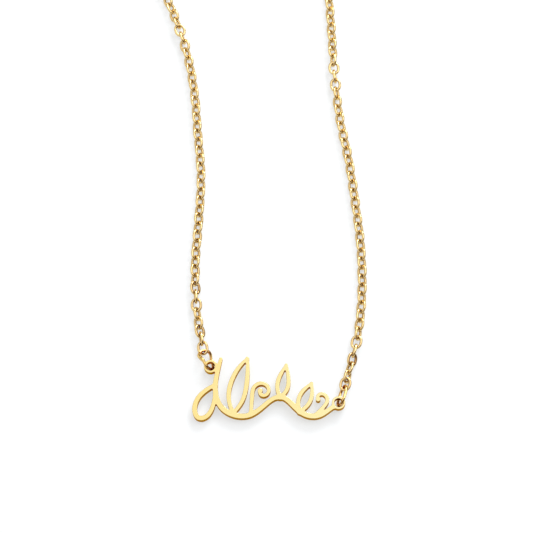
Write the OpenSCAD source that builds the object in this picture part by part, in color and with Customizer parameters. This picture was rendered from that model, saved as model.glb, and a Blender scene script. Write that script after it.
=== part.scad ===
// Necklace with an openwork plate, laid flat.
// X runs to the wearer's left, Y from the plate towards the clasp, Z up.
// The surface that it lies on is Z = 0.

/* [Plate] */
// Thickness of the openwork plate
plate_t = 1.6; // [1.2:0.05:1.6]
// Scale on the width of every stroke in the plate
stroke_k = 1.0; // [0.85:0.05:1.15]
// Outside diameter of the two eyes
eye_d = 2.75; // [2.6:0.05:2.8]
// Hole through each eye
eye_hole_d = 1.8; // [1.75:0.05:1.85]

/* [Jump rings] */
// Wire diameter of the two jump rings at the plate
ring_wire = 0.54; // [0.45:0.01:0.56]
// Length of a jump ring along the middle of its wire
ring_long = 4.4; // [4.3:0.05:4.45]
// Width of a jump ring along the middle of its wire
ring_short = 3.1; // [3.05:0.05:3.2]

/* [Chain] */
// Overall diameter of the fine cable chain
chain_d = 2.1; // [1.6:0.1:2.4]

/* [Clasp] */
// Thickness of the clasp's hook
clasp_t = 1.3; // [1.0:0.1:1.4]
// Width of the clasp across its hook
clasp_w = 5.1; // [5.0:0.1:5.3]
// Wire diameter of the ring that the clasp hooks into
end_wire = 0.55; // [0.45:0.05:0.55]
// Diameter of that ring along the middle of its wire
end_ring_d = 4.2; // [4.1:0.1:4.3]

/* [Hidden] */

// Where the lay-out's own zero falls in the frame of the part
shift = [10.87, -66.2, 0];

// Plate: where its own lower left corner lies, how high its underside
// is there, and how far it leans. It stands on its low left loop and on
// the wires of the two jump rings that pass under its eyes.
plate_at = [-15.4, -34.1, -0.01];
plate_lean = [3.0, -0.85, 0];

// Strokes of the plate, a row for each control point of a smooth curve.
// Columns: x, y, width of the stroke there
main_stem = [
  [ 6.0, 13.1, 0.65], [ 5.5, 11.2, 0.85], [ 4.9,  8.6, 0.95],
  [ 4.8,  5.6, 1.05], [ 5.9,  2.7, 1.10], [ 8.6,  1.0, 1.10],
  [12.0,  0.8, 1.05], [14.8,  3.0, 0.95], [16.9,  5.0, 0.90],
  [19.2,  5.1, 1.00], [21.1,  2.9, 1.10], [23.4,  0.9, 1.10],
  [26.2,  0.8, 1.05], [28.0,  2.1, 0.95], [29.3,  3.0, 0.85]];
low_loop = [
  [ 4.9,  7.6, 0.75], [ 3.2,  6.7, 0.90], [ 1.3,  5.1, 0.95],
  [ 0.4,  2.6, 1.00], [ 1.2,  0.3, 1.00], [ 3.3,  0.7, 0.95],
  [ 4.5,  2.8, 0.90], [ 5.0,  6.2, 0.75]];
tall_leaf_a = [
  [ 8.6,  1.6, 0.75], [ 7.5,  4.2, 0.85], [ 7.7,  7.4, 0.95],
  [ 9.3, 11.0, 0.90], [11.5, 13.2, 0.55]];
tall_leaf_b = [
  [ 8.6,  1.6, 0.75], [10.6,  3.9, 0.85], [11.3,  7.0, 0.95],
  [11.6, 10.4, 0.90], [11.5, 13.2, 0.55]];
mid_leaf_a = [
  [18.2,  4.9, 0.75], [17.5,  6.7, 0.85], [17.8,  9.0, 0.90],
  [19.5, 11.7, 0.55]];
mid_leaf_b = [
  [18.2,  4.9, 0.75], [19.8,  6.3, 0.85], [20.1,  8.7, 0.90],
  [19.5, 11.7, 0.55]];
small_leaf_a = [
  [22.2,  1.8, 0.75], [21.7,  4.0, 0.85], [22.6,  6.2, 0.90],
  [24.7,  7.8, 0.55]];
small_leaf_b = [
  [22.2,  1.8, 0.75], [24.1,  3.2, 0.85], [24.9,  5.3, 0.90],
  [24.7,  7.8, 0.55]];
// Tendrils: a short stalk, then a spiral that winds in to a bead
stalk_a = [[12.2, 1.4, 0.80], [12.3, 2.9, 0.75]];
stalk_b = [[25.3, 1.0, 0.80], [26.4, 2.1, 0.75]];
// Columns: centre x, centre y, radius at the start and at the end,
// angle at the start and at the end, width at the start and at the end,
// control points, diameter of the bead
curl_a = [14.6, 6.2, 2.30, 0.50, 200, -195, 0.85, 0.65, 11, 1.05];
curl_b = [26.5, 4.6, 1.70, 0.50, -40,  200, 0.80, 0.65,  7, 0.95];

// Middle of each eye in the plate's own flat frame
left_eye = [3.9, 11.5];
right_eye = [30.2, 3.7];

// Jump rings: middle of the ring, turn of its long axis, lean of its plane
left_ring_at = [-12.3, -21.15];
left_ring_turn = 114;
left_ring_lean = 57;
right_ring_at = [15.53, -28.9];
right_ring_turn = 73;
right_ring_lean = -70;

// Chain: points that its middle runs through, from the plate to the clasp
left_route = [
  [-13.2, -18.6], [-14.6, -9.5], [-15.0, 0.0], [-14.4, 10.0],
  [-14.0, 20.0], [-14.8, 30.0], [-15.7, 40.0], [-17.6, 50.0],
  [-20.9, 60.0], [-25.2, 69.5], [-30.2, 79.0], [-35.0, 88.5],
  [-39.0, 98.0], [-42.0, 108.0], [-43.6, 118.0], [-43.4, 128.0],
  [-41.2, 138.0], [-37.0, 147.0], [-30.8, 155.0], [-23.0, 161.0],
  [-15.0, 164.0]];
right_route = [
  [ 16.3, -26.0], [ 18.9, -16.0], [ 20.0, -6.0], [ 19.9, 4.0],
  [ 18.9, 14.0], [ 17.6, 24.0], [ 15.8, 34.0], [ 14.8, 44.0],
  [ 14.3, 54.0], [ 13.8, 64.0], [ 13.8, 74.0], [ 14.9, 84.0],
  [ 17.0, 94.0], [ 19.4, 104.0], [ 21.2, 114.0], [ 22.0, 124.0],
  [ 21.2, 134.0], [ 18.4, 143.5], [ 13.6, 152.0], [ 7.0, 159.0],
  [ -1.5, 163.6]];

// Clasp: back end of its own eye, height of its middle there, and the
// small lean that lifts its hook clear of the end ring's wire
clasp_at = [-14.7, 164.0, 0.56];
clasp_lean = -7;
end_ring_at = [-4.1, 164.0];
end_ring_lean = 46;

// ---- curves ----

// Smooth cubic that follows a table's control points, n steps to each row
function cubic(a, b, c, d, t) =
  (pow(1 - t, 3) * a + (3 * pow(t, 3) - 6 * t * t + 4) * b
   + (-3 * pow(t, 3) + 3 * t * t + 3 * t + 1) * c + pow(t, 3) * d) / 6;
function smooth(p, n) =
  let (q = concat([2 * p[0] - p[1]], p, [2 * p[len(p) - 1] - p[len(p) - 2]]))
  concat([for (i = [1 : len(q) - 3]) for (k = [0 : n - 1])
            cubic(q[i - 1], q[i], q[i + 1], q[i + 2], k / n)],
         [p[len(p) - 1]]);

// Curve that passes through each of its points
function through(a, b, c, d, t) =
  0.5 * (2 * b + (c - a) * t + (2 * a - 5 * b + 4 * c - d) * t * t
         + (3 * b - a - 3 * c + d) * pow(t, 3));
function route(p, n) =
  let (q = concat([2 * p[0] - p[1]], p, [2 * p[len(p) - 1] - p[len(p) - 2]]))
  concat([for (i = [1 : len(q) - 3]) for (k = [0 : n - 1])
            through(q[i - 1], q[i], q[i + 1], q[i + 2], k / n)],
         [p[len(p) - 1]]);

function curl(c) =
  [for (k = [0 : c[8] - 1])
     let (f = k / (c[8] - 1), a = c[4] + (c[5] - c[4]) * f,
          r = c[2] + (c[3] - c[2]) * f)
     [c[0] + r * cos(a), c[1] + r * sin(a), c[6] + (c[7] - c[6]) * f]];

// Heading of a curve at its i-th point, in degrees
function heading(p, i) =
  let (a = p[max(i - 1, 0)], b = p[min(i + 1, len(p) - 1)])
  atan2(b[1] - a[1], b[0] - a[0]);

// ---- plate ----

// One stroke: a ribbon of changing width with round ends
module stroke(rows, n = 5) {
  p = smooth(rows, n);
  m = len(p) - 1;
  h = [for (q = p) q[2] * stroke_k / 2];
  polygon(concat(
    [for (i = [0 : m]) let (a = heading(p, i) + 90)
       [p[i][0] + h[i] * cos(a), p[i][1] + h[i] * sin(a)]],
    [for (k = [1 : 5]) let (a = heading(p, m) + 90 - k * 30)
       [p[m][0] + h[m] * cos(a), p[m][1] + h[m] * sin(a)]],
    [for (i = [m : -1 : 0]) let (a = heading(p, i) - 90)
       [p[i][0] + h[i] * cos(a), p[i][1] + h[i] * sin(a)]],
    [for (k = [1 : 5]) let (a = heading(p, 0) - 90 - k * 30)
       [p[0][0] + h[0] * cos(a), p[0][1] + h[0] * sin(a)]]));
}

module tendril(stalk, c) {
  w = curl(c);
  tip = w[len(w) - 1];
  stroke(concat(stalk, w), 4);
  translate([tip[0], tip[1]]) circle(d = c[9] * stroke_k, $fn = 20);
}

module plate_outline() {
  stroke(main_stem);
  stroke(low_loop);
  stroke(tall_leaf_a);
  stroke(tall_leaf_b);
  stroke(mid_leaf_a);
  stroke(mid_leaf_b);
  stroke(small_leaf_a);
  stroke(small_leaf_b);
  tendril(stalk_a, curl_a);
  tendril(stalk_b, curl_b);
  for (e = [left_eye, right_eye]) translate(e) circle(d = eye_d, $fn = 40);
}

module nameplate() {
  color([0.95, 0.83, 0.52])
    translate(shift + plate_at) rotate(plate_lean) difference() {
      linear_extrude(plate_t)
        offset(delta = -0.05) offset(delta = 0.05) plate_outline();
      for (e = [left_eye, right_eye])
        translate([e[0], e[1], -1])
          cylinder(d = eye_hole_d, h = plate_t + 2, $fn = 64);
    }
}

// ---- rings ----

// Closed oval ring of round wire, long axis along X
module oval_ring(long, short, wire) {
  r = short / 2;
  s = (long - short) / 2;
  for (m = [0, 180]) rotate([0, 0, m]) translate([s, 0, 0])
    rotate([0, 0, -90]) rotate_extrude(angle = 180, $fn = 64)
      translate([r, 0]) circle(d = wire, $fn = 32);
  for (m = [-1, 1]) translate([-s, m * r, 0]) rotate([0, 90, 0])
    cylinder(d = wire, h = 2 * s, $fn = 32);
}

// A ring that leans stands on the lower of its two long sides
function lean_z(half, wire, lean) = half * abs(sin(lean)) + wire / 2;

module left_jump_ring() {
  color([0.86, 0.68, 0.36])
    translate(shift + [left_ring_at[0], left_ring_at[1],
                       lean_z(ring_short / 2, ring_wire, left_ring_lean)])
      rotate([0, 0, left_ring_turn]) rotate([left_ring_lean, 0, 0])
        oval_ring(ring_long, ring_short, ring_wire);
}

module right_jump_ring() {
  color([0.86, 0.68, 0.36])
    translate(shift + [right_ring_at[0], right_ring_at[1],
                       lean_z(ring_short / 2, ring_wire, right_ring_lean)])
      rotate([0, 0, right_ring_turn]) rotate([right_ring_lean, 0, 0])
        oval_ring(ring_long, ring_short, ring_wire);
}

module end_ring() {
  color([0.86, 0.68, 0.36])
    translate(shift + [end_ring_at[0], end_ring_at[1],
                       lean_z(end_ring_d / 2, end_wire, end_ring_lean)])
      rotate([end_ring_lean, 0, 0])
        rotate_extrude($fn = 64) translate([end_ring_d / 2, 0])
          circle(d = end_wire, $fn = 32);
}

// ---- chain ----

// Eight sided tube along a level route, lying on Z = 0 on one flat side
module chain_run(points) {
  p = route(points, 2);
  m = len(p) - 1;
  r = chain_d / 2 / cos(22.5);
  ring = [for (i = [0 : m]) let (a = heading(p, i) + 90)
            for (k = [0 : 7]) let (w = 22.5 + 45 * k)
              [p[i][0] + r * cos(w) * cos(a), p[i][1] + r * cos(w) * sin(a),
               chain_d / 2 + r * sin(w)]];
  sides = [for (i = [0 : m - 1]) for (k = [0 : 7])
             let (j = (k + 1) % 8, a = 8 * i, b = 8 * i + 8)
               each [[a + k, b + k, b + j], [a + k, b + j, a + j]]];
  ends = [[for (k = [0 : 7]) k], [for (k = [7 : -1 : 0]) 8 * m + k]];
  translate(shift) polyhedron(ring, concat(sides, ends), convexity = 10);
}

module chain_left() { color([0.88, 0.71, 0.40]) chain_run(left_route); }
module chain_right() { color([0.88, 0.71, 0.40]) chain_run(right_route); }

// ---- clasp ----

// Closed hook with its own small eye behind, in one piece
module clasp() {
  color([0.90, 0.75, 0.42])
    translate(shift + clasp_at) rotate([0, clasp_lean, 0]) {
      translate([0, 0, -clasp_t / 2]) linear_extrude(clasp_t) difference() {
        hull() {
          translate([3.9, 0]) circle(r = 1.3, $fn = 32);
          translate([8.0, 0]) circle(d = clasp_w, $fn = 32);
        }
        hull() {
          translate([4.9, 0.2]) circle(r = 0.6, $fn = 32);
          translate([8.0, 0]) circle(d = clasp_w - 1.9, $fn = 32);
        }
      }
      difference() {
        union() {
          translate([1.4, 0, -0.5]) cylinder(r = 1.4, h = 1, $fn = 48);
          translate([1.4, -0.6, -0.5]) cube([2.6, 1.2, 1]);
        }
        translate([1.4, 0, -1]) cylinder(r = 0.7, h = 2, $fn = 48);
      }
    }
}

nameplate();
left_jump_ring();
right_jump_ring();
chain_left();
chain_right();
clasp();
end_ring();
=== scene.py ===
import math
import random

import bmesh
import bpy
import numpy as np
from mathutils import Euler, Matrix, Vector
from mathutils.geometry import delaunay_2d_cdt


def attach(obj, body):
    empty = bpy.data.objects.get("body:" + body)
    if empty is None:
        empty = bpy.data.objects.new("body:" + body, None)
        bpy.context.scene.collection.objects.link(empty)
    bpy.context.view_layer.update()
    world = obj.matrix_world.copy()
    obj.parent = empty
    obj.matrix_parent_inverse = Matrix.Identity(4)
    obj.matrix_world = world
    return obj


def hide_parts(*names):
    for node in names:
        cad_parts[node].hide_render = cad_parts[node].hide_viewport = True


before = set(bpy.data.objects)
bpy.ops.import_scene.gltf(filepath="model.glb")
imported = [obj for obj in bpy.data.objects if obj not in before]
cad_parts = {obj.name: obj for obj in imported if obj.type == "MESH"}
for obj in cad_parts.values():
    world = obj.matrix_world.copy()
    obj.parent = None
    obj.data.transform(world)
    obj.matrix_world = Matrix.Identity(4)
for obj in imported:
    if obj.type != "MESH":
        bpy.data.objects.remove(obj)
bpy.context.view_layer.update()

MM = 0.001
TOP, SIDES, ROOM = 1.22, 0.75, 0.15
KEY_AT, KEY_SIZE, KEY_POWER = (0.55, 1.25, 0.90), (0.9, 0.6), 20.0
SIDE_AT, SIDE_SIZE, SIDE_POWER = (0.86, 0.22, 1.00), (0.8, 0.7), 4.6
FLOOR_GLOW = 0.57
SHIFT = np.array([10.87, -66.2, 0.0])

# ---------------------------------------------------------------- route
LEFT_ROUTE = [
    (-13.2, -18.6), (-14.6, -9.5), (-15.0, 0.0), (-14.4, 10.0),
    (-14.0, 20.0), (-14.8, 30.0), (-15.7, 40.0), (-17.6, 50.0),
    (-20.9, 60.0), (-25.2, 69.5), (-30.2, 79.0), (-35.0, 88.5),
    (-39.0, 98.0), (-42.0, 108.0), (-43.6, 118.0), (-43.4, 128.0),
    (-41.2, 138.0), (-37.0, 147.0), (-30.8, 155.0), (-23.0, 161.0),
    (-15.0, 164.0)]
RIGHT_ROUTE = [
    (16.3, -26.0), (18.9, -16.0), (20.0, -6.0), (19.9, 4.0),
    (18.9, 14.0), (17.6, 24.0), (15.8, 34.0), (14.8, 44.0),
    (14.3, 54.0), (13.8, 64.0), (13.8, 74.0), (14.9, 84.0),
    (17.0, 94.0), (19.4, 104.0), (21.2, 114.0), (22.0, 124.0),
    (21.2, 134.0), (18.4, 143.5), (13.6, 152.0), (7.0, 159.0),
    (-1.5, 163.6)]


def through(points, n):
    p = np.array(points, float)
    q = np.vstack([2 * p[0] - p[1], p, 2 * p[-1] - p[-2]])
    out = []
    for i in range(1, len(q) - 2):
        a, b, c, d = q[i - 1:i + 3]
        for k in range(n):
            t = k / n
            out.append(0.5 * (2 * b + (c - a) * t + (2 * a - 5 * b + 4 * c - d) * t * t
                              + (3 * b - a - 3 * c + d) * t ** 3))
    out.append(p[-1])
    return np.array(out)


class Path:
    """A level curve by arc length, in millimetres."""

    def __init__(self, points):
        self.p = through(points, 60)
        self.s = np.concatenate([[0], np.cumsum(np.linalg.norm(np.diff(self.p, axis=0), axis=1))])
        self.length = self.s[-1]

    def at(self, s):
        x = np.interp(s, self.s, self.p[:, 0])
        y = np.interp(s, self.s, self.p[:, 1])
        if s < 0:
            t = self.tangent(0.0)
            return self.p[0] + t * s
        if s > self.length:
            t = self.tangent(self.length)
            return self.p[-1] + t * (s - self.length)
        return np.array([x, y])

    def tangent(self, s):
        s = min(max(s, 0.4), self.length - 0.4)
        a, b = s - 0.4, s + 0.4
        d = np.array([np.interp(b, self.s, self.p[:, i]) - np.interp(a, self.s, self.p[:, i])
                      for i in (0, 1)])
        return d / np.linalg.norm(d)


# ------------------------------------------------------------- helpers
def obj_from(name, verts, faces, smooth=True, weighted=True):
    me = bpy.data.meshes.new(name)
    me.from_pydata([tuple(v) for v in verts], [], [tuple(f) for f in faces])
    me.validate()
    me.update()
    if smooth:
        me.polygons.foreach_set("use_smooth", [True] * len(me.polygons))
    ob = bpy.data.objects.new(name, me)
    bpy.context.scene.collection.objects.link(ob)
    if weighted:
        m = ob.modifiers.new("even_normals", "WEIGHTED_NORMAL")
        m.mode = "FACE_AREA"
        m.weight = 80
        m.keep_sharp = False
    return ob


def wire_section(w, h, r, n=3):
    """Rounded rectangle, w across and h high, as a loop of points."""
    out = []
    for cx, cy, a0 in ((1, 1, 0), (-1, 1, 90), (-1, -1, 180), (1, -1, 270)):
        for k in range(n + 1):
            a = math.radians(a0 + 90 * k / n)
            out.append((cx * (w / 2 - r) + r * math.cos(a), cy * (h / 2 - r) + r * math.sin(a)))
    return out


def oval_line(long, short, n_arc, n_side, power=1.0):
    """Closed oval in its own plane: points and outward normals."""
    r, s = short / 2, (long - short) / 2
    pts, nor = [], []
    for m in (0, 1):
        for k in range(n_arc):
            a = math.radians(-90 + 180 * k / n_arc)
            x, y, nx, ny = s + r * math.cos(a), r * math.sin(a), math.cos(a), math.sin(a)
            if m:
                x, y, nx, ny = -x, -y, -nx, -ny
            pts.append((x, y))
            nor.append((nx, ny))
        for k in range(n_side):
            x, y = s - 2 * s * k / n_side, r
            nx, ny = 0.0, 1.0
            if m:
                x, y, nx, ny = -x, -y, -nx, -ny
            pts.append((x, y))
            nor.append((nx, ny))
    return pts, nor


def ring_mesh(pts, nor, section, lift=None, gap=None):
    """Sweep a section round a closed plane line. Section x is outward, y is axial."""
    m = len(section)
    n = len(pts)
    verts = []
    for i, ((x, y), (nx, ny)) in enumerate(zip(pts, nor)):
        dz = lift[i] if lift is not None else 0.0
        for sx, sy in section:
            verts.append((x + nx * sx, y + ny * sx, sy + dz))
    faces = []
    last = n if gap is None else n - 1
    for i in range(last):
        j = (i + 1) % n
        for k in range(m):
            l = (k + 1) % m
            faces.append((i * m + k, j * m + k, j * m + l, i * m + l))
    if gap is not None:
        faces.append(tuple(range(m)))
        faces.append(tuple((n - 1) * m + k for k in reversed(range(m))))
    return np.array(verts), faces


# -------------------------------------------------------------- chain
LINK_LONG, LINK_WIDE = 3.15, 2.45
# strengths of the painted shade on the chain links
HOOK_SHADE, HOLE_SHADE, UNDER_SHADE, FLAT_SHADE = 0.95, 0.50, 0.95, 0.9
WIRE_IN, WIRE_AX, WIRE_R = 0.56, 0.52, 0.20
PITCH = 1.95

def link_line(long, short, n, power):
    """Closed oval with sides that bow all the way: points and outward normals."""
    a, b = long / 2, short / 2
    pts, nor = [], []
    for k in range(n):
        t = 2 * math.pi * (k + 0.5) / n
        c, s = math.cos(t), math.sin(t)
        x, y = math.copysign(abs(c) ** (2 / power), c), math.copysign(abs(s) ** (2 / power), s)
        nx, ny = math.copysign(abs(x) ** (power - 1), x) / a, math.copysign(abs(y) ** (power - 1), y) / b
        m = math.hypot(nx, ny)
        pts.append((a * x, b * y))
        nor.append((nx / m, ny / m))
    return pts, nor


lp, ln = link_line(LINK_LONG - WIRE_IN, LINK_WIDE - WIRE_IN, 36, 2.2)
LINK_V, LINK_F = ring_mesh(lp, ln, wire_section(WIRE_IN, WIRE_AX, WIRE_R, 3))


def link_height(roll):
    """Height of the chain's middle when links at roll and roll + 90 both clear the floor."""
    low = 0.0
    for r in (roll, roll + 90):
        a = math.radians(r)
        low = min(low, float((LINK_V[:, 1] * math.sin(a) + LINK_V[:, 2] * math.cos(a)).min()))
    return 0.03 - low


def link_shade():
    """Painted shade at each point of a link, 0 to 1: darkest where links hook together and on the wire's inner side.
    """
    n_sec = len(wire_section(WIRE_IN, WIRE_AX, WIRE_R, 3))
    out = []
    for i, (x, y) in enumerate(lp):
        a = math.atan2(abs(y), max(abs(x) - (LINK_LONG - LINK_WIDE) / 2, 0.0))
        away = a * (LINK_WIDE - WIRE_IN) / 2
        hook = 1.0 - min(max((away - 0.25) / 0.55, 0.0), 1.0)
        hook = hook * hook * (3 - 2 * hook)
        for k in range(n_sec):
            sx = LINK_V[i * n_sec + k][:2] - np.array([x, y])
            side = float(sx @ np.array(ln[i])) / (WIRE_IN / 2)      # -1 inside, 1 outside
            inner = min(max(-side, 0.0), 1.0)
            out.append(min(1.0, HOOK_SHADE * hook * min(max(0.25 - 0.85 * side, 0.0), 1.0) + HOLE_SHADE * inner))
    return np.array(out)


def link_sides():
    """For each point of a link: how far in or out it lies on the wire, -1 to 1, and the way out."""
    n_sec = len(wire_section(WIRE_IN, WIRE_AX, WIRE_R, 3))
    base, way = np.repeat(np.array(lp), n_sec, axis=0), np.repeat(np.array(ln), n_sec, axis=0)
    side = ((LINK_V[:, :2] - base) * way).sum(1) / (WIRE_IN / 2)
    return side, np.column_stack([way, np.zeros(len(way))])


# stores painted shade per point as a mesh attribute
def put_shade(ob, values):
    at = ob.data.attributes.new("painted_shade", "FLOAT", "POINT")
    at.data.foreach_set("value", np.asarray(values, dtype=np.float32))


def place_links(name, path, marks, last, rolls, seed, shaded_links):
    """Interlocked links along the path. marks is a table of (number, arc length), rolls one of
    (arc length, roll), and the last argument gives, by number, the few links darkened with painted shade, and how
    strongly."""
    rng = random.Random(seed)
    rs, rv = [r[0] for r in rolls], [r[1] for r in rolls]
    mi, ms = [m[0] for m in marks], [m[1] for m in marks]
    centres = []
    i = 0
    while True:
        s = float(np.interp(i, mi, ms)) if i <= mi[-1] else ms[-1] + PITCH * (i - mi[-1])
        if s > last:
            break
        centres.append((s, i))
        i += 1
    verts, faces, shades = [], [], []
    one = link_shade()
    side, way = link_sides()
    for s, i in centres:
        base = float(np.interp(s, rs, rv))
        jit = rng.uniform(-2.5, 2.5)
        roll = base + (90 if i % 2 else 0) + jit
        t = path.tangent(s)
        c = path.at(s)
        z = link_height(base)
        yaw = math.atan2(t[1], t[0]) + math.radians(rng.uniform(-1.2, 1.2))
        M = (Matrix.Translation((c[0], c[1], z))
             @ Matrix.Rotation(yaw, 4, "Z")
             @ Matrix.Rotation(math.radians(roll), 4, "X"))
        R = np.array(M)
        v = LINK_V @ R[:3, :3].T + R[:3, 3] + SHIFT
        k = len(verts) * len(LINK_V)
        verts.append(v)
        # painted shade: the low flank is darkened near the ends, where it passes under the next link
        under = np.clip((np.abs(LINK_V[:, 0]) - 0.45) / 0.45, 0, 1) * np.clip((z - 0.15 - v[:, 2]) / 0.45, 0, 1)
        # painted shade: on a link that lies flat, the inner wall and the outer side turned toward +X are darkened
        # into dark lines
        flat = abs(math.cos(math.radians(roll))) ** 6
        shaded = np.clip((way @ R[:3, :3].T)[:, 0], 0, 1)
        lines = FLAT_SHADE * flat * (np.clip(-side, 0, 1) + 0.7 * np.clip(side, 0, 1) * shaded)
        # painted shade: a few chosen links are darkened, least on the wire's outer side
        if i in shaded_links:
            lines = np.maximum(lines, shaded_links[i] * np.clip(1.0 - 0.9 * side, 0, 1))
        # the painted shade is strongest near the plate and weakens toward the clasp, varied a little at random per
        # link
        shade_strength = float(np.interp(s, [0.0, 35.0, 75.0], [1.1, 1.0, 0.5])) * rng.uniform(0.8, 1.0)
        shades.append(np.minimum(np.maximum(np.maximum(one, UNDER_SHADE * under), lines) * shade_strength, 1.0))
        faces.extend([tuple(a + k for a in f) for f in LINK_F])
    ob = obj_from(name, np.vstack(verts) * MM, faces)
    put_shade(ob, np.concatenate(shades))
    return ob, centres


left_path, right_path = Path(LEFT_ROUTE), Path(RIGHT_ROUTE)

LEFT_MARKS = [(0, 0.15), (1, 2.2), (2, 3.9), (8, 15.45), (40, 77.85)]
RIGHT_MARKS = [(0, -0.25), (1, 1.5), (2, 3.35), (5, 9.17), (10, 19.04), (20, 38.54), (28, 54.3),
               (35, 68.3), (37, 72.33), (39, 76.3), (45, 87.8)]
LEFT_ROLL = [(-1, -20), (0.64, -16), (3.9, 37), (5.9, 48), (7.8, 58), (9.7, 76), (11.6, 97), (13.6, 127), (15.6, 130),
             (17.5, 133), (23, 135), (62, 135), (66, 138), (70.1, 150), (74, 180),
             (76, 150), (78, 135), (82, 135), (400, 135)]
RIGHT_ROLL = [(-1, 180), (1.35, 150), (3.37, 120), (5.3, 128), (7.3, 98), (9.2, 75), (13, 50), (16, 45),
              (64, 45), (67, 70), (68.3, 75), (72.3, 87), (74.3, 110), (76.3, 130), (79, 135), (400, 135)]
chain_left, left_c = place_links("links_left", left_path, LEFT_MARKS, left_path.length - 0.2, LEFT_ROLL, 3,
                                 {2: 0.6, 7: 0.65})
chain_right, right_c = place_links("links_right", right_path, RIGHT_MARKS, right_path.length + 0.3, RIGHT_ROLL, 5,
                                   {3: 0.9})

# -------------------------------------------------------------- plate
PLATE_T = 1.6
PLATE_AT = np.array([-15.4, -34.1, -0.01])
PLATE_LEAN = (3.0, -0.85)
LEFT_EYE, RIGHT_EYE = (3.9, 11.5), (30.2, 3.7)
EYE_D, EYE_HOLE = 2.75, 1.8
STROKES = {
    "main_stem": [
        (6.0, 13.1, 0.65), (5.5, 11.2, 0.85), (4.9, 8.6, 0.95),
        (4.8, 5.6, 1.05), (5.9, 2.7, 1.10), (8.6, 1.0, 1.10),
        (12.0, 0.8, 1.05), (14.8, 3.0, 0.95), (16.9, 5.0, 0.90),
        (19.2, 5.1, 1.00), (21.1, 2.9, 1.10), (23.4, 0.9, 1.10),
        (26.2, 0.8, 1.05), (28.0, 2.1, 0.95), (29.3, 3.0, 0.85)],
    "low_loop": [
        (4.9, 7.6, 0.75), (3.2, 6.7, 0.90), (1.3, 5.1, 0.95),
        (0.4, 2.6, 1.00), (1.2, 0.3, 1.00), (3.3, 0.7, 0.95),
        (4.5, 2.8, 0.90), (5.0, 6.2, 0.75)],
    "tall_leaf_a": [
        (8.6, 1.6, 0.75), (7.5, 4.2, 0.85), (7.7, 7.4, 0.95),
        (9.3, 11.0, 0.90), (11.5, 13.2, 0.55)],
    "tall_leaf_b": [
        (8.6, 1.6, 0.75), (10.6, 3.9, 0.85), (11.3, 7.0, 0.95),
        (11.6, 10.4, 0.90), (11.5, 13.2, 0.55)],
    "mid_leaf_a": [
        (18.2, 4.9, 0.75), (17.5, 6.7, 0.85), (17.8, 9.0, 0.90), (19.5, 11.7, 0.55)],
    "mid_leaf_b": [
        (18.2, 4.9, 0.75), (19.8, 6.3, 0.85), (20.1, 8.7, 0.90), (19.5, 11.7, 0.55)],
    "small_leaf_a": [
        (22.2, 1.8, 0.75), (21.7, 4.0, 0.85), (22.6, 6.2, 0.90), (24.7, 7.8, 0.55)],
    "small_leaf_b": [
        (22.2, 1.8, 0.75), (24.1, 3.2, 0.85), (24.9, 5.3, 0.90), (24.7, 7.8, 0.55)],
}
STALKS = {"tendril_a": [(12.2, 1.4, 0.80), (12.3, 2.9, 0.75)],
          "tendril_b": [(25.3, 1.0, 0.80), (26.4, 2.1, 0.75)]}
CURLS = {"tendril_a": (14.6, 6.2, 2.30, 0.50, 200, -195, 0.85, 0.65, 11, 1.05),
         "tendril_b": (26.5, 4.6, 1.70, 0.50, -40, 200, 0.80, 0.65, 7, 0.95)}


def curl(c):
    out = []
    for k in range(c[8]):
        f = k / (c[8] - 1)
        a, r = math.radians(c[4] + (c[5] - c[4]) * f), c[2] + (c[3] - c[2]) * f
        out.append((c[0] + r * math.cos(a), c[1] + r * math.sin(a), c[6] + (c[7] - c[6]) * f))
    return out


def smooth(points, n):
    p = np.array(points, float)
    q = np.vstack([2 * p[0] - p[1], p, 2 * p[-1] - p[-2]])
    out = []
    for i in range(1, len(q) - 2):
        a, b, c, d = q[i - 1:i + 3]
        for k in range(n):
            t = k / n
            out.append(((1 - t) ** 3 * a + (3 * t ** 3 - 6 * t * t + 4) * b
                        + (-3 * t ** 3 + 3 * t * t + 3 * t + 1) * c + t ** 3 * d) / 6)
    out.append(p[-1])
    return np.array(out)


def stroke_field(row, gx, gy):
    """Distance from grid points to one stroke's edge, negative inside."""
    c = smooth(row, 9)
    x0, x1 = c[:, 0].min() - 1.6, c[:, 0].max() + 1.6
    y0, y1 = c[:, 1].min() - 1.6, c[:, 1].max() + 1.6
    ix = np.where((gx >= x0) & (gx <= x1))[0]
    iy = np.where((gy >= y0) & (gy <= y1))[0]
    X, Y = np.meshgrid(gx[ix], gy[iy])
    best = np.full(X.shape, 9.0)
    for a, b in zip(c[:-1], c[1:]):
        vx, vy = b[0] - a[0], b[1] - a[1]
        L = max(vx * vx + vy * vy, 1e-12)
        t = np.clip(((X - a[0]) * vx + (Y - a[1]) * vy) / L, 0, 1)
        d = np.hypot(X - a[0] - t * vx, Y - a[1] - t * vy) - (a[2] + (b[2] - a[2]) * t) / 2
        np.minimum(best, d, out=best)
    full = np.full((len(gy), len(gx)), 9.0)
    full[np.ix_(iy, ix)] = best
    return full


def smin(a, b, k):
    h = np.maximum(k - np.abs(a - b), 0) / k
    return np.minimum(a, b) - h * h * k * 0.25


def plate_field(step=0.04):
    gx = np.arange(-1.2, 33.0, step)
    gy = np.arange(-1.2, 14.6, step)
    X, Y = np.meshgrid(gx, gy)
    f = None
    rows = list(STROKES.values()) + [STALKS[k] + curl(CURLS[k]) for k in STALKS]
    for row in rows:
        d = stroke_field(row, gx, gy)
        f = d if f is None else smin(f, d, 0.34)
    for k in CURLS:
        x, y, _ = curl(CURLS[k])[-1]
        f = smin(f, np.hypot(X - x, Y - y) - CURLS[k][9] / 2, 0.2)
    for e in (LEFT_EYE, RIGHT_EYE):
        f = smin(f, np.hypot(X - e[0], Y - e[1]) - EYE_D / 2, 0.34)
    for e in (LEFT_EYE, RIGHT_EYE):
        f = np.maximum(f, EYE_HOLE / 2 - np.hypot(X - e[0], Y - e[1]))
    return gx, gy, f


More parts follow.
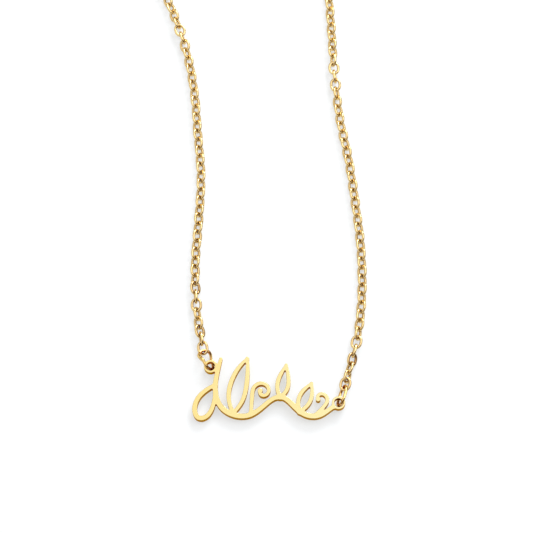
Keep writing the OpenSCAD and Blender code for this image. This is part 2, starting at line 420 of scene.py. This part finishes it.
def outlines(gx, gy, f):
    """Closed outlines where the field is zero, by marching squares."""
    ny, nx = f.shape
    inside = f < 0
    code = (inside[:-1, :-1] * 1 + inside[:-1, 1:] * 2 + inside[1:, 1:] * 4 + inside[1:, :-1] * 8)
    nxt = {}

    def cut(i, j, e):
        # edges: 0 low, 1 right, 2 high, 3 left of cell i, j; key is unique per grid edge
        if e == 0:
            key, a, b = (i, j, 0), (i, j), (i, j + 1)
        elif e == 1:
            key, a, b = (i, j + 1, 1), (i, j + 1), (i + 1, j + 1)
        elif e == 2:
            key, a, b = (i + 1, j, 0), (i + 1, j), (i + 1, j + 1)
        else:
            key, a, b = (i, j, 1), (i, j), (i + 1, j)
        fa, fb = f[a], f[b]
        t = fa / (fa - fb)
        return key, (gx[a[1]] + (gx[b[1]] - gx[a[1]]) * t, gy[a[0]] + (gy[b[0]] - gy[a[0]]) * t)

    table = {1: [(3, 0)], 2: [(0, 1)], 3: [(3, 1)], 4: [(1, 2)], 5: [(3, 2), (1, 0)], 6: [(0, 2)],
             7: [(3, 2)], 8: [(2, 3)], 9: [(2, 0)], 10: [(2, 1), (0, 3)], 11: [(2, 1)],
             12: [(1, 3)], 13: [(1, 0)], 14: [(0, 3)]}
    place = {}
    for i, j in zip(*np.where((code > 0) & (code < 15))):
        for a, b in table[int(code[i, j])]:
            ka, pa = cut(i, j, a)
            kb, pb = cut(i, j, b)
            place[ka], place[kb] = pa, pb
            nxt[ka] = kb
    loops = []
    left = set(nxt)
    while left:
        start = min(left)
        loop, k = [], start
        while k in left:
            left.discard(k)
            loop.append(place[k])
            k = nxt[k]
        loops.append(np.array(loop))
    return loops


def even(loop, step):
    """Resample a closed loop at even steps, after a little smoothing."""
    for _ in range(3):
        loop = 0.25 * np.roll(loop, 1, 0) + 0.5 * loop + 0.25 * np.roll(loop, -1, 0)
    c = np.vstack([loop, loop[:1]])
    s = np.concatenate([[0], np.cumsum(np.linalg.norm(np.diff(c, axis=0), axis=1))])
    n = max(int(round(s[-1] / step)), 12)
    t = np.linspace(0, s[-1], n, endpoint=False)
    return np.column_stack([np.interp(t, s, c[:, 0]), np.interp(t, s, c[:, 1])])


gx, gy, field = plate_field()
loops = [even(l, 0.11) for l in outlines(gx, gy, field) if len(l) > 20]


def sample_field(p):
    p = np.atleast_2d(p)
    u = (p[:, 0] - gx[0]) / (gx[1] - gx[0])
    v = (p[:, 1] - gy[0]) / (gy[1] - gy[0])
    i, j = np.floor(v).astype(int), np.floor(u).astype(int)
    i, j = np.clip(i, 0, len(gy) - 2), np.clip(j, 0, len(gx) - 2)
    fv, fu = v - i, u - j
    return (field[i, j] * (1 - fv) * (1 - fu) + field[i, j + 1] * (1 - fv) * fu
            + field[i + 1, j] * fv * (1 - fu) + field[i + 1, j + 1] * fv * fu)


def inward(loop):
    """Unit vectors into the metal at each point of an outline."""
    t = np.roll(loop, -1, 0) - np.roll(loop, 1, 0)
    t /= np.linalg.norm(t, axis=1)[:, None]
    n = np.column_stack([-t[:, 1], t[:, 0]])
    test = sample_field(loop + n * 0.06)
    back = sample_field(loop - n * 0.06)
    n[test > back] *= -1
    return n


def build_plate():
    R_TOP, R_LOW, N = 0.075, 0.05, 4
    verts, walls, caps, shades = [], [], [], []
    rims = {"top": [], "low": []}
    for loop in loops:
        n = inward(loop)
        # painted shade: narrow corners and the eyes' bores are darker than open walls
        shut = 1.0 - np.clip(sample_field(loop - n * 0.45) / 0.42, 0.0, 1.0)
        for e in (LEFT_EYE, RIGHT_EYE):
            shut = np.maximum(shut, np.clip((EYE_HOLE * 0.62 - np.hypot(*(loop - e).T)) * 6.0, 0.0, 0.9))
        shut = 0.5 * shut + 0.25 * (np.roll(shut, 1) + np.roll(shut, -1))
        rows = []
        for k in range(N + 1):          # lower edge, from the underside out to the wall
            a = math.radians(90 - 90 * k / N)
            rows.append((R_LOW * (1 - math.cos(a)), R_LOW * (1 - math.sin(a))))
        for k in range(N + 1):          # upper edge, from the wall in to the face
            a = math.radians(90 * k / N)
            rows.append((R_TOP * (1 - math.cos(a)), PLATE_T - R_TOP + R_TOP * math.sin(a)))
        base = len(verts)
        m = len(loop)
        for inset, z in rows:
            q = loop + n * inset
            verts.extend([(x, y, z) for x, y in q])
            shades.extend(shut)
        for r in range(len(rows) - 1):
            for i in range(m):
                j = (i + 1) % m
                walls.append((base + r * m + i, base + r * m + j,
                              base + (r + 1) * m + j, base + (r + 1) * m + i))
        rims["low"].append((base, m))
        rims["top"].append((base + (len(rows) - 1) * m, m))
    # faces: fill between the rims with a fine even triangulation
    xs = np.arange(gx[0], gx[-1], 0.26)
    ys = np.arange(gy[0], gy[-1], 0.23)
    inner = []
    for r, y in enumerate(ys):
        for x in xs + (0.13 if r % 2 else 0.0):
            inner.append((x, y))
    inner = np.array(inner)
    inner = inner[sample_field(inner) < -0.2]
    for side in ("top", "low"):
        pts, ids, edges = [], [], []
        for base, m in rims[side]:
            o = len(pts)
            for i in range(m):
                v = verts[base + i]
                pts.append(Vector((v[0], v[1])))
                ids.append(base + i)
                edges.append((o + i, o + (i + 1) % m))
        n_rim = len(pts)
        z = PLATE_T if side == "top" else 0.0
        for p in inner:
            pts.append(Vector((float(p[0]), float(p[1]))))
        out_v, _, out_f, orig, _, _ = delaunay_2d_cdt(pts, edges, [], 0, 1e-7)
        where = []
        for v, o in zip(out_v, orig):
            o = o[0] if o else None
            if o is not None and o < n_rim:
                where.append(ids[o])
            else:
                verts.append((v.x, v.y, z))
                shades.append(0.0)
                where.append(len(verts) - 1)
        mids = np.array([[sum(out_v[k][0] for k in f) / len(f), sum(out_v[k][1] for k in f) / len(f)] for f in out_f])
        keep = sample_field(mids) < -0.02
        for f, ok in zip(out_f, keep):
            if ok:
                g = [where[k] for k in f]
                caps.append(tuple(g) if side == "top" else tuple(reversed(g)))
    v = np.array(verts)
    M = Euler((math.radians(PLATE_LEAN[0]), math.radians(PLATE_LEAN[1]), 0.0)).to_matrix()
    v = v @ np.array(M).T + PLATE_AT + SHIFT
    ob = obj_from("plate_ornament", v * MM, walls + caps)
    put_shade(ob, shades)
    bm = bmesh.new()
    bm.from_mesh(ob.data)
    bmesh.ops.recalc_face_normals(bm, faces=bm.faces)
    loose = [x for x in bm.verts if not x.link_faces]
    bmesh.ops.delete(bm, geom=loose, context="VERTS")
    bm.to_mesh(ob.data)
    bm.free()
    return ob


plate = build_plate()

# ---------------------------------------------------------- jump rings
RING_LONG, RING_SHORT, RING_WIRE = 4.4, 3.1, 0.54
# strengths of the painted shade on the rings: near their ends and on the wire's inner side
END_SHADE, RING_INNER_SHADE = 0.75, 0.35


def jump_ring(name, at, turn, lean, long, short, wire, seam, jog=0.04, twist=0.0, flat=0.0):
    """Oval ring of squarish wire, leaning. twist turns its +X end about its long axis, and
    flat widens the wire on the shoulder between +X and +Y, where its ends were pressed shut."""
    pts, nor = oval_line(long, short, 30, 8)
    n = len(pts)
    k = int(seam * n)
    pts, nor = pts[k:] + pts[:k], nor[k:] + nor[:k]
    lift = [jog * (i / (n - 1) - 0.5) for i in range(n)]
    sec = wire_section(wire, wire, wire * 0.32, 4)
    v, f = ring_mesh(pts, nor, sec, lift=lift, gap=True)
    # painted shade: darker near the ring's ends, where other parts pass through it, and on the wire's inner side
    shades = []
    for x, y in pts:
        end = 1.0 - min(max((long / 2 - abs(x) - 0.2) / 0.9, 0.0), 1.0)
        for sx, sy in sec:
            inner = min(max(-sx / (wire / 2), 0.0), 1.0)
            shades.append(min(1.0, END_SHADE * end * (0.55 + 0.45 * inner) + RING_INNER_SHADE * inner))
    shoulder = np.hypot(v[:, 0] - 0.8, v[:, 1] - 1.3)
    v[:, 2] *= 1.0 + flat * np.clip((1.25 - shoulder) / 0.6, 0.0, 1.0)
    f_end = np.clip((v[:, 0] + 0.5) / (long / 2 + 0.5), 0.0, 1.0)
    a = math.radians(twist) * f_end * f_end * (3 - 2 * f_end)
    v = np.column_stack([v[:, 0], v[:, 1] * np.cos(a) - v[:, 2] * np.sin(a),
                         v[:, 1] * np.sin(a) + v[:, 2] * np.cos(a)])
    turned = v @ np.array(Matrix.Rotation(math.radians(lean), 4, "X"))[:3, :3].T
    M = (Matrix.Translation((at[0], at[1], 0.01 - float(turned[:, 2].min())))
         @ Matrix.Rotation(math.radians(turn), 4, "Z") @ Matrix.Rotation(math.radians(lean), 4, "X"))
    R = np.array(M)
    ob = obj_from(name, (v @ R[:3, :3].T + R[:3, 3] + SHIFT) * MM, f)
    put_shade(ob, shades)
    return ob


ring_l = jump_ring("jump_ring_left", (-12.3, -21.15), 114, 57, RING_LONG, RING_SHORT, RING_WIRE, 0.42,
                   twist=-34, flat=0.6)
ring_r = jump_ring("jump_ring_right", (15.53, -28.9), 73, -70, RING_LONG, RING_SHORT, RING_WIRE, 0.6)
ring_e = jump_ring("clasp_ring", (-4.1, 164.0), 0, 46, 4.2, 4.2, 0.55, 0.05)


# --------------------------------------------------------------- clasp
def build_clasp():
    tilt = math.radians(-7)
    parts = []

    def sweep(line, wide, high, closed=True):
        p = np.array(line)
        n = len(p)
        t = np.roll(p, -1, 0) - np.roll(p, 1, 0)
        if not closed:
            t[0], t[-1] = p[1] - p[0], p[-1] - p[-2]
        t /= np.linalg.norm(t, axis=1)[:, None]
        nor = np.column_stack([t[:, 1], -t[:, 0]])
        sec = wire_section(1, 1, 0.36, 5)
        m = len(sec)
        v, f = [], []
        for i in range(n):
            w, h = wide[i], high[i]
            for sx, sy in sec:
                v.append((p[i, 0] + nor[i, 0] * sx * w, p[i, 1] + nor[i, 1] * sx * w, sy * h))
        for i in range(n if closed else n - 1):
            j = (i + 1) % n
            for k in range(m):
                f.append((i * m + k, i * m + (k + 1) % m, j * m + (k + 1) % m, j * m + k))
        if not closed:
            f.append(tuple(range(m)))
            f.append(tuple((n - 1) * m + k for k in reversed(range(m))))
        parts.append((np.array(v), f))

    # hook: a closed drop shape, thicker at its back
    line, wide, high = [], [], []
    big, small, cb, cs = 2.07, 0.95, 8.0, 4.3
    d = cb - cs
    a0 = math.degrees(math.acos((big - small) / d))
    for k in range(40):
        a = math.radians(-a0 + 2 * a0 * k / 39)
        line.append((cb + big * math.cos(a), big * math.sin(a)))
    for k in range(1, 10):
        f = k / 10
        a = math.radians(a0)
        line.append(((cb + big * math.cos(a)) * (1 - f) + (cs + small * math.cos(a)) * f,
                     big * math.sin(a) * (1 - f) + small * math.sin(a) * f))
    for k in range(16):
        a = math.radians(a0 + (360 - 2 * a0) * k / 15)
        line.append((cs + small * math.cos(a), small * math.sin(a)))
    for k in range(1, 10):
        f = k / 10
        a = math.radians(-a0)
        line.append(((cb + big * math.cos(a)) * f + (cs + small * math.cos(a)) * (1 - f),
                     big * math.sin(a) * f + small * math.sin(a) * (1 - f)))
    for x, y in line:
        back = max(0.0, min(1.0, (6.0 - x) / 3.0))
        wide.append(0.94 + 0.25 * back)
        high.append(1.3)
    sweep(line, wide, high)
    # neck and its own eye
    sweep([(x, 0.0) for x in np.linspace(2.3, 4.2, 8)], [1.15 - 0.1 * abs(k - 4) / 4 for k in range(8)],
          [1.0 + 0.04 * k for k in range(8)], closed=False)
    eye = [(1.4 + 1.05 * math.cos(a), 1.05 * math.sin(a)) for a in np.linspace(0, 2 * math.pi, 40, endpoint=False)]
    sweep(eye, [0.7] * 40, [1.0] * 40)
    verts, faces = [], []
    for v, f in parts:
        k = len(verts)
        verts.extend([tuple(x) for x in v])
        faces.extend([tuple(a + k for a in g) for g in f])
    ob = obj_from("clasp_hook", np.array(verts), faces, weighted=False)
    rm = ob.modifiers.new("one_piece", "REMESH")
    rm.mode = "VOXEL"
    rm.voxel_size = 0.07
    rm.use_smooth_shade = True
    sm = ob.modifiers.new("even", "SMOOTH")
    sm.iterations = 3
    sm.factor = 0.5
    dg = bpy.context.evaluated_depsgraph_get()
    me = bpy.data.meshes.new_from_object(ob.evaluated_get(dg))
    ob.modifiers.clear()
    ob.data = me
    M = Matrix.Translation(Vector((-14.7, 164.0, 0.56)) + Vector(SHIFT)) @ Matrix.Rotation(tilt, 4, "Y")
    me.transform(Matrix.Scale(MM, 4) @ M)
    me.polygons.foreach_set("use_smooth", [True] * len(me.polygons))
    me.update()
    return ob


clasp = build_clasp()


# ----------------------------------------------------------- materials
def gold(name, colour, rough, spread, scratch, grain, streak=None, other=None, drift=260.0, deep=None,
         edge=(1.0, 1.0, 1.0), along=None):
    mat = bpy.data.materials.new(name)
    mat.use_nodes = True
    nt = mat.node_tree
    nt.nodes.clear()
    out = nt.nodes.new("ShaderNodeOutputMaterial")
    b = nt.nodes.new("ShaderNodeBsdfPrincipled")
    b.inputs["Metallic"].default_value = 1.0
    b.inputs["Specular Tint"].default_value = (*edge, 1)
    nt.links.new(b.outputs[0], out.inputs[0])
    co = nt.nodes.new("ShaderNodeTexCoord")

    def noise(scale, detail, rough_=0.5, vec=None):
        n = nt.nodes.new("ShaderNodeTexNoise")
        n.inputs["Scale"].default_value = scale
        n.inputs["Detail"].default_value = detail
        n.inputs["Roughness"].default_value = rough_
        nt.links.new(vec if vec is not None else co.outputs["Object"], n.inputs["Vector"])
        return n

    # plating: the colour drifts a little from place to place
    n1 = noise(drift, 3.0)
    ramp = nt.nodes.new("ShaderNodeMapRange")
    ramp.inputs["From Min"].default_value = 0.35
    ramp.inputs["From Max"].default_value = 0.7
    nt.links.new(n1.outputs["Fac"], ramp.inputs["Value"])
    mix = nt.nodes.new("ShaderNodeMix")
    mix.data_type = "RGBA"
    mix.inputs["A"].default_value = (*colour, 1)
    mix.inputs["B"].default_value = (*(other or (colour[0] * 0.96, colour[1] * 0.92, colour[2] * 0.8)), 1)
    scale = nt.nodes.new("ShaderNodeMath")
    scale.operation = "MULTIPLY"
    scale.inputs[1].default_value = spread
    amount = ramp.outputs["Result"]
    if along is not None:
        # painted reflection: the face runs to a deeper gold toward one end of the plate, standing in for a darker
        # reflection there
        sep = nt.nodes.new("ShaderNodeSeparateXYZ")
        nt.links.new(co.outputs["Object"], sep.inputs[0])
        far = nt.nodes.new("ShaderNodeMapRange")
        far.inputs["From Min"].default_value, far.inputs["From Max"].default_value = along
        nt.links.new(sep.outputs["X"], far.inputs["Value"])
        both = nt.nodes.new("ShaderNodeMath")
        both.operation = "MULTIPLY_ADD"
        both.inputs[1].default_value = 0.4
        nt.links.new(amount, both.inputs[0])
        half = nt.nodes.new("ShaderNodeMath")
        half.operation = "MULTIPLY"
        half.inputs[1].default_value = 0.6
        nt.links.new(far.outputs["Result"], half.inputs[0])
        nt.links.new(half.outputs[0], both.inputs[2])
        amount = both.outputs[0]
    nt.links.new(amount, scale.inputs[0])
    nt.links.new(scale.outputs[0], mix.inputs["Factor"])
    last = mix
    # painted shade: the mesh's shade attribute mixes the base colour toward deep
    if deep is not None:
        at = nt.nodes.new("ShaderNodeAttribute")
        at.attribute_name = "painted_shade"
        last = nt.nodes.new("ShaderNodeMix")
        last.data_type = "RGBA"
        last.inputs["B"].default_value = (*deep, 1)
        nt.links.new(at.outputs["Fac"], last.inputs["Factor"])
        nt.links.new(mix.outputs["Result"], last.inputs["A"])
    nt.links.new(last.outputs["Result"], b.inputs["Base Color"])
    # polish: gloss varies with handling and fine lines
    n2 = noise(1400.0, 4.0, 0.6)
    r = nt.nodes.new("ShaderNodeMapRange")
    r.inputs["From Min"].default_value = 0.3
    r.inputs["From Max"].default_value = 0.75
    r.inputs["To Min"].default_value = rough * 0.75
    r.inputs["To Max"].default_value = rough * 1.45
    nt.links.new(n2.outputs["Fac"], r.inputs["Value"])
    nt.links.new(r.outputs["Result"], b.inputs["Roughness"])
    # hairlines from polishing, and a soft orange peel
    mp = nt.nodes.new("ShaderNodeMapping")
    mp.inputs["Scale"].default_value = streak if streak else (1, 1, 1)
    nt.links.new(co.outputs["Object"], mp.inputs["Vector"])
    n3 = noise(2600.0, 2.0, 0.5, mp.outputs["Vector"])
    n4 = noise(grain, 1.0)
    add = nt.nodes.new("ShaderNodeMath")
    add.operation = "MULTIPLY_ADD"
    add.inputs[1].default_value = 0.25
    nt.links.new(n3.outputs["Fac"], add.inputs[0])
    nt.links.new(n4.outputs["Fac"], add.inputs[2])
    bump = nt.nodes.new("ShaderNodeBump")
    bump.inputs["Strength"].default_value = scratch
    bump.inputs["Distance"].default_value = 0.00002
    nt.links.new(add.outputs[0], bump.inputs["Height"])
    nt.links.new(bump.outputs["Normal"], b.inputs["Normal"])
    return mat


# the deep colours below are the colours of the painted shade
DEEP = (0.44, 0.085, 0.012)
m_face = gold("gold_plate_face", (0.765, 0.69, 0.372), 0.17, 1.0, 0.25, 420.0, streak=(1.0, 8.0, 1.0),
              other=(0.742, 0.605, 0.243), drift=60.0, along=(0.026, 0.002))
m_wall = gold("gold_plate_wall", (0.48, 0.30, 0.052), 0.24, 0.5, 0.5, 700.0, streak=(6.0, 6.0, 0.6),
              deep=(0.36, 0.08, 0.012), edge=(0.83, 0.49, 0.12))
m_ring = gold("gold_ring", (0.75, 0.555, 0.22), 0.17, 0.4, 0.3, 900.0, deep=DEEP, edge=(0.9, 0.68, 0.36))
m_chain = gold("gold_chain", (0.80, 0.635, 0.32), 0.19, 0.5, 0.3, 1100.0, deep=(0.21, 0.07, 0.01),
               edge=(0.9, 0.68, 0.36))
m_clasp = gold("gold_clasp", (0.74, 0.58, 0.29), 0.17, 0.4, 0.35, 700.0)

# the plate's cut walls are rougher than its polished faces, and their darker, redder gold is painted shade
plate.data.materials.append(m_face)
plate.data.materials.append(m_wall)
lean_m = Euler((math.radians(PLATE_LEAN[0]), math.radians(PLATE_LEAN[1]), 0.0)).to_matrix()
up = lean_m @ Vector((0, 0, 1))
for poly in plate.data.polygons:
    poly.material_index = 0 if abs(poly.normal.dot(up)) > 0.62 else 1
for o, m in ((chain_left, m_chain), (chain_right, m_chain), (ring_l, m_ring), (ring_r, m_ring),
             (ring_e, m_ring), (clasp, m_clasp)):
    o.data.materials.append(m)

for piece, node, slot in ((plate, "nameplate", "plate_gold"), (ring_l, "left_jump_ring", "ring_gold"),
                          (ring_r, "right_jump_ring", "ring_gold"), (chain_left, "chain_left", "chain_gold"),
                          (chain_right, "chain_right", "chain_gold"), (clasp, "clasp", "clasp_gold"),
                          (ring_e, "end_ring", "ring_gold")):
    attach(piece, "root")
    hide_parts(node)

# --------------------------------------------------------------- floor
me = bpy.data.meshes.new("floor")
me.from_pydata([(-3, -3, 0), (3, -3, 0), (3, 3, 0), (-3, 3, 0)], [], [(0, 1, 2, 3)])
floor = bpy.data.objects.new("floor", me)
bpy.context.scene.collection.objects.link(floor)
mf = bpy.data.materials.new("pale_floor")
mf.use_nodes = True
fb = mf.node_tree.nodes["Principled BSDF"]
fb.inputs["Base Color"].default_value = (0.387, 0.406, 0.425, 1)
fb.inputs["Emission Color"].default_value = (0.96, 0.99, 1.0, 1)
fb.inputs["Emission Strength"].default_value = FLOOR_GLOW
fb.inputs["Roughness"].default_value = 0.85
fb.inputs["Specular IOR Level"].default_value = 0.15
me.materials.append(mf)

# --------------------------------------------------------------- light
world = bpy.data.worlds.new("studio")
bpy.context.scene.world = world
world.use_nodes = True
wn = world.node_tree
wn.nodes.clear()


def wmath(op, *args):
    n = wn.nodes.new("ShaderNodeMath")
    n.operation = op
    for i, v in enumerate(args):
        if isinstance(v, (int, float)):
            n.inputs[i].default_value = v
        else:
            wn.links.new(v, n.inputs[i])
    return n.outputs[0]


def wstep(value, lo_, hi_, to_lo, to_hi):
    n = wn.nodes.new("ShaderNodeMapRange")
    n.interpolation_type = "SMOOTHSTEP"
    for k, v in (("From Min", lo_), ("From Max", hi_), ("To Min", to_lo), ("To Max", to_hi)):
        n.inputs[k].default_value = v
    wn.links.new(value, n.inputs["Value"])
    return n.outputs[0]


w_co = wn.nodes.new("ShaderNodeTexCoord")
w_sep = wn.nodes.new("ShaderNodeSeparateXYZ")
wn.links.new(w_co.outputs["Generated"], w_sep.inputs[0])
dx, dy, dz = w_sep.outputs


def lobe(axis, wide, narrow, power):
    ax = Vector(axis).normalized()
    d = wmath("ADD", wmath("ADD", wmath("MULTIPLY", dx, ax.x), wmath("MULTIPLY", dy, ax.y)),
              wmath("MULTIPLY", dz, ax.z))
    return wstep(d, math.cos(math.radians(wide)), math.cos(math.radians(narrow)), 0.0, power)


# a wide soft overhead sheet, a pale wall to the left, the rest of the room dim and warm
sky = lobe((-0.10, 0.28, 0.95), 60, 24, TOP)
sides = lobe((-0.95, -0.30, 0.0), 58, 25, SIDES)
w_bg = wn.nodes.new("ShaderNodeBackground")
w_bg.inputs["Color"].default_value = (1.0, 1.0, 1.0, 1)
wn.links.new(wmath("ADD", sky, sides), w_bg.inputs["Strength"])
w_room = wn.nodes.new("ShaderNodeBackground")
w_room.inputs["Color"].default_value = (1.0, 0.55, 0.28, 1)
w_room.inputs["Strength"].default_value = ROOM
w_add = wn.nodes.new("ShaderNodeAddShader")
w_out = wn.nodes.new("ShaderNodeOutputWorld")
wn.links.new(w_bg.outputs[0], w_add.inputs[0])
wn.links.new(w_room.outputs[0], w_add.inputs[1])
wn.links.new(w_add.outputs[0], w_out.inputs["Surface"])


def area(name, at, size, power, look=(10.87 * MM, -66.2 * MM, 0)):
    d = bpy.data.lights.new(name, "AREA")
    d.shape = "RECTANGLE"
    d.size, d.size_y = size
    d.energy = power
    o = bpy.data.objects.new(name, d)
    o.location = at
    o.rotation_euler = (Vector(look) - Vector(at)).to_track_quat("-Z", "Y").to_euler()
    bpy.context.scene.collection.objects.link(o)
    return o


area("key", KEY_AT, KEY_SIZE, KEY_POWER)
area("side", SIDE_AT, SIDE_SIZE, SIDE_POWER)

# -------------------------------------------------------------- camera
EL = math.radians(70.0)
F_PX, PX_MM = 2049.0, 4.74
DIST = F_PX / PX_MM * MM
look = Vector((SHIFT[0] * MM, SHIFT[1] * MM, 0.0))
cam = bpy.data.cameras.new("camera")
cam.sensor_width = 36.0
cam.lens = F_PX / 533.0 * 36.0
cam.clip_start, cam.clip_end = 0.01, 20.0
co = bpy.data.objects.new("camera", cam)
co.location = look + Vector((0, -math.cos(EL), math.sin(EL))) * DIST
co.rotation_euler = (math.pi / 2 - EL, 0, 0)
bpy.context.scene.collection.objects.link(co)
bpy.context.scene.camera = co

bpy.context.scene.view_settings.view_transform = "Standard"
bpy.context.scene.view_settings.look = "None"
